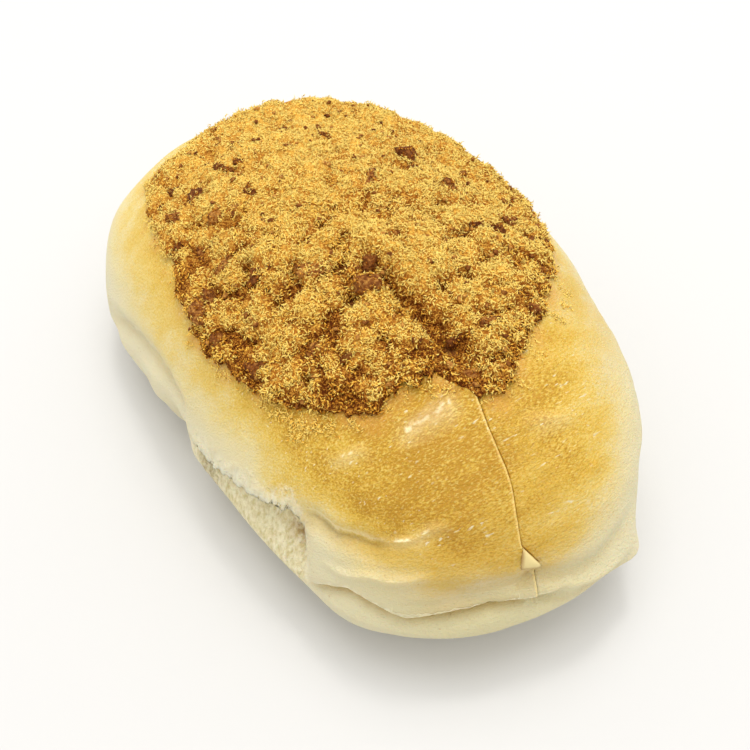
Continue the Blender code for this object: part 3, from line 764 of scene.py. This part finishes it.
def calm_zone(points):
    """1 on the left and the near left of the heap, where its clumps are flatter, falling to 0."""
    near_left = smooth(0.012, -0.03, points[:, 1]) * smooth(0.02, -0.005, points[:, 0])
    return np.maximum(near_left, smooth(0.005, -0.03, points[:, 0]))


def even_bearings(shares):
    around = np.linspace(0, 360, 361)
    rim = plain_form(around, floss_edge(around))[:, :2] + CENTRE[:2]
    reach = np.linalg.norm(rim - CROWN, axis=1)
    area = np.cumsum(reach ** 2)
    return np.interp(shares * area[-1], area, around)


def ragged_edge(bearing):
    rim = np.stack((np.cos(np.radians(bearing)), np.sin(np.radians(bearing)), 0 * bearing), axis=-1)
    return floss_edge(bearing) + 1.8 * field(rim, 0.11) + 1.8 * field(rim, 0.035, 4.0)


def bed(bearing, lift, edge):
    return FLOSS_GAP - BED_SINK * smooth(edge, edge + BED_FADE, lift)


def tuft_places():
    share = np.sqrt((np.arange(TUFTS) + 0.5) / TUFTS)
    bearing = even_bearings((np.arange(TUFTS) * GOLDEN_SHARE + draw.uniform(-0.02, 0.02, TUFTS)) % 1)
    edge = ragged_edge(bearing)
    lift = 90 - (90 - edge - 0.5) * share
    size = draw.uniform(*TUFT_SIZES, TUFTS) * (1 - 0.35 * share ** 6)
    return plain_form(bearing, lift), size


# The heap's core: its mesh, and for each point whether it shows, how far it stands out of its
# surroundings, the outward way, its place on the smooth form and its lift above the heap's edge
Core = namedtuple("Core", "piece points faces shown stand out plain inside")
Lumps = namedtuple("Lumps", "piece points faces")


def form_point(bearing, lift):
    return plain_form(np.array([float(bearing)]), np.array([float(lift)]))[0]


def make_core():
    """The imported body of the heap, with its tufts, holes and crevice."""
    fine = np.linspace(0, 360, 3601)
    bearings = spread(CORE_COLUMNS + 1, fine, 1 + 1.0 * hump(fine - 262, 50))[:-1]
    under = np.linspace(-90, 0, CORE_UNDER + 1)[:-1]
    side_lifts = joined((under, np.linspace(0, 90, CORE_ROWS - CORE_UNDER + 1)))
    bearing, side = ball_grid(bearings, side_lifts)
    edge = ragged_edge(bearing)
    lift = edge + (90 - edge) * np.abs(side) / 90
    on_top = (side > 0).astype(float)
    plain = plain_form(bearing, lift)
    out = skin_axes(bearing, lift)[2]
    body, crevice = floss_top(bearing, lift, edge)
    centres, sizes = tuft_places()
    tree = KDTree(len(centres))
    for index, centre in enumerate(centres):
        tree.insert(centre, index)
    tree.balance()
    tuft = np.zeros(len(plain))
    for index, point in enumerate(plain):
        if on_top[index]:
            for _, other, distance in tree.find_range(point, TUFT_SIZES[1]):
                share = distance / sizes[other]
                if share < 1:
                    tuft[index] = max(tuft[index], sizes[other] * math.sqrt(1 - share * share))
    rim = smooth(0, 5, lift - edge)
    tuft = tuft * TUFT_HEIGHT * (0.35 + 0.65 * rim) * full_share(bearing) * (1 - 0.3 * calm_zone(plain))
    rough = 0.45 * MM * field(plain, 1.5 * MM, 3.3) + 0.2 * MM * field(plain, 0.7 * MM, 8.1)
    height = body + tuft * (1 - 0.8 * crevice) + rough
    hole = np.zeros(len(plain))
    for place, high, radius in HOLES:
        centre = form_point(place, high)
        hole = np.maximum(hole, hump(np.linalg.norm(plain - centre, axis=1), radius * MM))
    height = height * (1 - CREVICE_SHARE * crevice) * (1 - 0.85 * hole)
    height = np.maximum(height, 0.2 * MM)
    points = plain + (bed(bearing, lift, floss_edge(bearing)) + height * on_top)[:, None] * out
    stand = np.clip(0.42 + 0.38 * (tuft / MM - 1.2 * full_share(bearing)) + 0.6 * rough / MM, 0, 1)
    # painted shade: the stand, which sets the tone of the core and the fibres, is low in the crevice and
    # the holes
    stand = stand * (1 - 0.9 * crevice) * (1 - 0.9 * hole)
    finish = floss_finish("floss_core", CORE_STOPS, 0.9, 0.8, 0.5)
    # the core's tone: painted shade where it stands less far out, and painted light towards the far side
    tone = 0.2 + 0.75 * stand + 0.25 * smooth(0, 0.04, plain[:, 1])
    faces = ball_faces(CORE_COLUMNS, CORE_ROWS)
    piece = add_piece("floss_heap", points, faces, finish, {"tone": np.clip(tone, 0, 1)})
    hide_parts("floss")
    return Core(piece, points, faces, on_top > 0, stand, out, plain, lift - edge)


WISPS = 8600
WISP_FIBRES = 6
WISP_RADIUS = 0.38 * MM
STRAY_WISPS = 130
LUMP_FIBRES = 4200
FIBRE_PIECES = 4
FIBRE_LENGTHS = (0.65 * MM, 1.35 * MM)
FIBRE_RADII = (0.09 * MM, 0.135 * MM)
RINGS = 2
# A wisp's tone by how far the heap stands out there, a painted shade that darkens its hollows, holes and
# crevice, and its contrast by its place along Y
TONE_STANDS, TONES = (0, 0.1, 0.3, 1), (0.08, 0.5, 0.86, 1.12)
CRISP_PLACES, CRISPS = (-0.03, -0.01, 0.01, 0.04), (1.6, 1.3, 0.85, 0.4)
# Small tufts that lie on the crust beside the heap: bearing, lift, how many wisps
STRAYS = ((222, 40.5, 16), (226, 42, 14), (229, 43.5, 10), (219, 39.5, 12), (216, 39, 12), (218, 37.3, 12),
          (221.5, 37.5, 6), (209, 37.5, 8), (213, 38.5, 8), (206, 37.5, 5), (184, 34.5, 5), (236, 46.5, 8),
          (258, 57, 8), (262, 56.5, 8), (280, 52.5, 6), (290, 54, 5), (306, 51, 7), (312, 49, 6),
          (318, 48, 5))


def vertex_normals(piece):
    normals = np.empty(len(piece.data.vertices) * 3)
    piece.data.vertices.foreach_get("normal", normals)
    return normals.reshape(-1, 3)


def triangle_samples(points, faces, weight, count):
    """Random points on the mesh's faces, by area times weight, with the face and shares of each."""
    tris = np.array([(f[0], f[i], f[i + 1]) for f in faces for i in range(1, len(f) - 1)])
    a, b, c = points[tris[:, 0]], points[tris[:, 1]], points[tris[:, 2]]
    area = np.linalg.norm(np.cross(b - a, c - a), axis=1) * weight[tris].mean(axis=1)
    chosen = draw.choice(len(tris), count, p=area / area.sum())
    first, second = draw.random(count), draw.random(count)
    flip = first + second > 1
    first, second = np.where(flip, 1 - first, first), np.where(flip, 1 - second, second)
    shares = np.stack((1 - first - second, first, second), axis=1)
    return tris[chosen], shares


def blended(values, tris, shares):
    """The values of the mesh's points at such samples."""
    return (values[tris] * (shares[:, :, None] if values.ndim > 1 else shares)).sum(axis=1)


def turned(vectors, axes, angle):
    """Each vector turned about its own unit axis."""
    cosine, sine = np.cos(angle)[:, None], np.sin(angle)[:, None]
    along = (axes * vectors).sum(axis=1, keepdims=True)
    return vectors * cosine + np.cross(axes, vectors) * sine + axes * along * (1 - cosine)


def fibre_meshes(roots, normals, tone, contrast, length, radius, lean, curl):
    """Points, faces and tones of curled, tapered fibres of three sides, with painted shade that makes them
    darkest at the root.
    """
    count = len(roots)
    loose = unit(draw.normal(size=(count, 3)))
    tangent = unit(loose - (loose * normals).sum(axis=1, keepdims=True) * normals)
    heading = unit(tangent + lean[:, None] * normals)
    side_of_turn = np.where(draw.random(count) < 0.5, -1.0, 1.0)[:, None]
    axis = unit(0.55 * draw.normal(size=(count, 3)) + side_of_turn * normals)
    step = length / (RINGS + 1)
    spine = [roots]
    for _ in range(RINGS + 1):
        spine.append(spine[-1] + heading * step[:, None])
        heading = turned(heading, axis, curl)
    spine = np.stack(spine, axis=1)
    side = unit(np.cross(spine[:, -1] - spine[:, 0] + 1e-9, axis))
    other = unit(np.cross(side, unit(spine[:, -1] - spine[:, 0] + 1e-9)))
    rings = []
    for ring in range(1, RINGS + 1):
        swell = radius * (1.0, 0.85)[ring - 1]
        for corner in range(3):
            turn_angle = 2 * math.pi * corner / 3
            offset = side * math.cos(turn_angle) + other * math.sin(turn_angle)
            rings.append(spine[:, ring] + offset * swell[:, None])
    points = np.stack([spine[:, 0]] + rings + [spine[:, -1]], axis=1)
    pattern = []
    for corner in range(3):
        after = (corner + 1) % 3
        pattern.append((0, 1 + after, 1 + corner))
        for ring in range(RINGS - 1):
            low, high = 1 + 3 * ring, 4 + 3 * ring
            pattern += [(low + corner, low + after, high + after),
                        (low + corner, high + after, high + corner)]
        pattern.append((1 + 3 * RINGS, 3 * RINGS - 2 + corner, 3 * RINGS - 2 + after))
    size = points.shape[1]
    faces = (np.arange(count)[:, None, None] * size + np.array(pattern)[None]).reshape(-1, 3)
    # painted shade between the fibres: the tone falls towards the root, scaled by the contrast
    fade = joined(([-0.38], np.repeat((-0.08, 0.08), 3), [0.14]))
    tones = np.clip(tone[:, None] + fade[None] * contrast[:, None], 0, 1)
    return points.reshape(-1, 3), faces.tolist(), tones.reshape(-1)


def stray_wisps():
    """Places on the crust of wisps that have come off the heap, and the outward way there."""
    bearings, lifts = [], []
    for place, high, count in STRAYS:
        bearings += list(place + draw.normal(0, 0.9, count))
        lifts += list(high + draw.normal(0, 0.7, count))
    loose = draw.uniform(0, 360, STRAY_WISPS)
    bearings = joined((bearings, loose))
    lifts = joined((lifts, floss_edge(loose) - draw.exponential(0.9, STRAY_WISPS)))
    return skin(bearings, lifts)[0], skin_axes(bearings, lifts)[2]


def make_fibres(core, lumps):
    """Curled fibres in small wisps that share a root, a tone and a length."""
    weight = core.shown * (0.25 + core.stand + 0.3 * hump(core.inside, 3))
    sample = triangle_samples(core.points, core.faces, weight, WISPS)
    centres, stands = blended(core.points, *sample), blended(core.stand, *sample)
    ways = unit(blended(vertex_normals(core.piece), *sample))
    loose, loose_ways = stray_wisps()
    centres = joined((centres, loose))
    ways = joined((ways, loose_ways))
    stands = joined((stands, np.full(len(loose), 0.45)))
    count = len(centres)
    near_side = smooth(0.012, -0.03, centres[:, 1])
    left_side = smooth(0.005, -0.03, centres[:, 0])
    far_side = smooth(0.01, 0.04, centres[:, 1])
    crisp = np.interp(centres[:, 1], CRISP_PLACES, CRISPS)
    stands += (0.42 - stands) * 0.4 * calm_zone(centres) * smooth(0.08, 0.2, stands)
    stands += (0.6 - stands) * 0.5 * far_side * smooth(0.08, 0.2, stands)
    clumps = 0.16 * field(centres, 2.0 * MM, 1.7) + 0.12 * field(centres, 7 * MM, 6.1)
    tone = np.interp(stands, TONE_STANDS, TONES) + clumps
    tone += crisp * draw.normal(0, 0.1, count)
    # painted light: the heap lighter towards +X and the far side
    tone += 0.26 * smooth(-0.008, 0.018, centres[:, 0]) + 0.18 * far_side
    tone += 0.02 * (near_side - left_side)
    scale = draw.uniform(0.7, 1.35, count)

    wisp = np.repeat(np.arange(count), WISP_FIBRES)
    total = len(wisp)
    offset = draw.normal(size=(total, 3))
    offset -= (offset * ways[wisp]).sum(axis=1, keepdims=True) * ways[wisp]
    roots = centres[wisp] + offset * WISP_RADIUS
    outward = unit(ways[wisp] + 0.35 * offset)
    tones = np.maximum(tone[wisp] + 0.1 * crisp[wisp] ** 2 * draw.normal(size=total), 0.2)
    lengths = draw.uniform(*FIBRE_LENGTHS, total) * scale[wisp]
    lean = np.where(draw.random(total) < 0.15, draw.uniform(0.2, 0.6, total),
                    draw.uniform(-0.05, 0.22, total))
    lean = lean * np.where(wisp < WISPS, np.minimum(0.3 + 0.7 * crisp[wisp], 1.3), 0.8)

    sample = triangle_samples(lumps.points, lumps.faces, np.ones(len(lumps.points)), LUMP_FIBRES)
    roots = joined((roots, blended(lumps.points, *sample)))
    outward = joined((outward, unit(blended(vertex_normals(lumps.piece), *sample))))
    contrast = joined((crisp[wisp], np.ones(LUMP_FIBRES)))
    tones = joined((tones, draw.normal(0.14, 0.07, LUMP_FIBRES)))
    lengths = joined((lengths, draw.uniform(*FIBRE_LENGTHS, LUMP_FIBRES) * 0.8))
    lean = joined((lean, draw.uniform(0, 0.4, LUMP_FIBRES)))

    total = len(roots)
    radius = draw.uniform(*FIBRE_RADII, total)
    curl = draw.uniform(0.7, 1.7, total)
    finish = floss_finish("floss_fibre", FLOSS_STOPS, 0.4, 0.5, fuzz=0.2)
    order = np.arange(total) % FIBRE_PIECES
    for number in range(FIBRE_PIECES):
        part = order == number
        made = fibre_meshes(roots[part] - outward[part] * 0.08 * MM, outward[part], tones[part],
                            contrast[part], lengths[part], radius[part], lean[part], curl[part])
        add_piece("floss_fibres_%d" % (number + 1), made[0], made[1], finish, {"tone": made[2]})


# Brown lumps of meat in the floss: bearing, lift, size in mm, tone
LUMPS = ((117, 44, 1.7, 0.25), (112, 67, 2.0, 0.3), (121, 54, 1.6, 0.3), (101, 61, 1.8, 0.3),
         (107.6, 58.7, 1.5, 0.35), (134, 71, 1.3, 0.6), (125.6, 63.6, 1.4, 0.6), (127.6, 59, 2.0, 0.75),
         (129, 48, 1.8, 0.6), (139, 46, 1.5, 0.35), (143, 51, 1.3, 0.5), (155, 56, 1.8, 0.7),
         (167.6, 62, 1.8, 0.35), (191, 71.7, 1.9, 0.75), (161, 46, 2.4, 0.5), (165.6, 42, 1.8, 0.6),
         (178, 41, 1.6, 0.5), (231, 72.4, 2.0, 0.5), (243, 75.5, 1.8, 0.55), (250, 84, 2.2, 0.45),
         (53, 76, 1.8, 0.6), (37, 60.5, 2.8, 0.3), (30, 66, 1.6, 0.3), (10.4, 61.5, 1.8, 0.5),
         (338, 64.3, 1.7, 0.25), (336, 60.5, 1.7, 0.3), (334, 51.7, 1.5, 0.4), (321, 60, 1.4, 0.45),
         (320, 53.5, 1.7, 0.5), (314, 85, 1.3, 0.65), (270, 62.9, 1.9, 0.6), (274, 65, 1.4, 0.3),
         (285, 63, 1.4, 0.5), (219, 56, 1.5, 0.55), (233, 60, 1.3, 0.5), (198, 42.6, 1.9, 0.35),
         (220, 50, 1.3, 0.4), (270, 57.5, 1.2, 0.6), (300, 58, 1.3, 0.5), (80, 55, 1.5, 0.4),
         (70, 62, 1.2, 0.5), (20, 50, 1.5, 0.45), (350, 50, 1.6, 0.45), (0, 44, 1.4, 0.4))
LUMP_SCALE = 1.15
LUMP_SINK = 0.42
GRAINS = 260
GRAIN_SIZES = (0.3 * MM, 0.65 * MM)
CHIP_FLATS = 9


def pebble(place, out, size, level, seed):
    """A broken lump with blunt flats, as points and faces."""
    shape = bmesh.new()
    bmesh.ops.create_icosphere(shape, subdivisions=level, radius=1.0)
    spin = Matrix.Rotation(seed * 2.4, 3, "Z")
    aim = Vector(out).to_track_quat("Z", "Y").to_matrix()
    flats = [(Vector([rng.gauss(0, 1) for _ in range(3)]).normalized(), rng.uniform(0.5, 0.8))
             for _ in range(CHIP_FLATS)]
    stretch = Vector((rng.uniform(1.0, 1.4), rng.uniform(0.75, 1.0), rng.uniform(0.6, 0.85)))
    points = []
    for vertex in shape.verts:
        ball = vertex.co.copy()
        reach = min([1.15] + [depth / max(ball.dot(way), 0.05) for way, depth in flats])
        swell = 1 + 0.3 * noise.noise(ball * 2.4 + Vector((seed, 0, 0)))
        swell += 0.22 * noise.noise(ball * 5.5 + Vector((0, seed, 0)))
        swell += 0.1 * noise.noise(ball * 11 + Vector((seed, seed, 0)))
        ball *= swell * reach
        points.append(Vector(place) + aim @ spin @ (ball * stretch) * size)
    faces = [tuple(vertex.index for vertex in face.verts) for face in shape.faces]
    shape.free()
    return points, faces


def join(parts):
    points, faces, tones = [], [], []
    for part_points, part_faces, tone in parts:
        start = len(points)
        points += part_points
        faces += [tuple(start + i for i in face) for face in part_faces]
        tones += [tone] * len(part_points)
    return np.array([tuple(p) for p in points]), faces, np.array(tones)


def make_lumps(core):
    points, out = core.points, core.out
    tree = KDTree(int(core.shown.sum()))
    for index in np.flatnonzero(core.shown):
        tree.insert(core.plain[index], int(index))
    tree.balance()
    finish = floss_finish("meat_lump", LUMP_STOPS, 0.6, 0.6, relief_size=0.5, mottle=0.35)
    parts = []
    for seed, (place, high, size, tone) in enumerate(LUMPS):
        index = tree.find(form_point(place, high))[1]
        sit = points[index] - out[index] * (LUMP_SINK * size * MM)
        parts.append(pebble(sit, out[index], LUMP_SCALE * size * MM, 3, seed + 0.5) + (tone,))
    made = join(parts)
    piece = add_piece("meat_lumps", made[0], made[1], finish, {"tone": made[2]})
    lumps = Lumps(piece, made[0], made[1])
    tris, shares = triangle_samples(points, core.faces, core.shown, GRAINS)
    parts = []
    for index in range(GRAINS):
        place = (points[tris[index]] * shares[index][:, None]).sum(axis=0)
        facing = out[tris[index][0]]
        size = rng.uniform(*GRAIN_SIZES)
        grain = pebble(place + facing * size * 0.4, facing, size, 1, index + 0.3)
        parts.append(grain + (rng.uniform(0.3, 1),))
    made = join(parts)
    add_piece("meat_grains", made[0], made[1], finish, {"tone": made[2]})
    return lumps


# ---- floor, light and camera
FLOOR_COLOUR = (0.66, 0.657, 0.65, 1)
SKY_COLOUR = (1.0, 0.99, 0.975, 1)
LAMP_COLOUR = (1.0, 0.985, 0.96)


def make_stage():
    bpy.ops.mesh.primitive_plane_add(size=4.0)
    floor = bpy.context.object
    floor.name = "floor"
    n = Nodes("floor")
    n.set(Base_Color=FLOOR_COLOUR, Roughness=0.9, Specular_IOR_Level=0.0)
    floor.data.materials.append(n.material)


def add_light(name, place, size, power):
    """A round lamp that looks at the origin."""
    light = bpy.data.lights.new(name, "AREA")
    light.shape = "DISK"
    light.size = size
    light.energy = power
    light.color = LAMP_COLOUR
    lamp = add_object(name, light)
    lamp.location = place
    lamp.rotation_euler = Vector(place).to_track_quat("Z", "Y").to_euler()


AZIMUTH, ELEVATION = -32.8, 52.8
DISTANCE = 162.6 * MM
FOCAL = 900 / 750  # as a share of the picture's width
TARGET = Vector((-3.652, -8.762, 15.0)) * MM


def make_camera():
    camera = bpy.data.cameras.new("camera")
    camera.sensor_width = 36.0
    camera.lens = FOCAL * camera.sensor_width
    camera.clip_start = 0.005
    a, e = math.radians(AZIMUTH), math.radians(ELEVATION)
    back = Vector((math.sin(a) * math.cos(e), -math.cos(a) * math.cos(e), math.sin(e)))
    holder = add_object("camera", camera)
    holder.location = TARGET + back * DISTANCE
    holder.rotation_euler = back.to_track_quat("Z", "Y").to_euler()
    scene.camera = holder


def light_scene():
    world = bpy.data.worlds.new("studio")
    world.use_nodes = True
    sky = world.node_tree.nodes["Background"]
    sky.inputs["Color"].default_value = SKY_COLOUR
    sky.inputs["Strength"].default_value = 1.0
    scene.world = world
    add_light("overhead", (0.11, 0.17, 0.93), 0.8, 4.4)
    add_light("lamp", (0.19, 0.24, 0.88), 0.16, 1.35)
    scene.view_settings.view_transform = "Standard"


make_bread()
make_flap()
core = make_core()
lumps = make_lumps(core)
make_fibres(core, lumps)
make_stage()
make_camera()
light_scene()
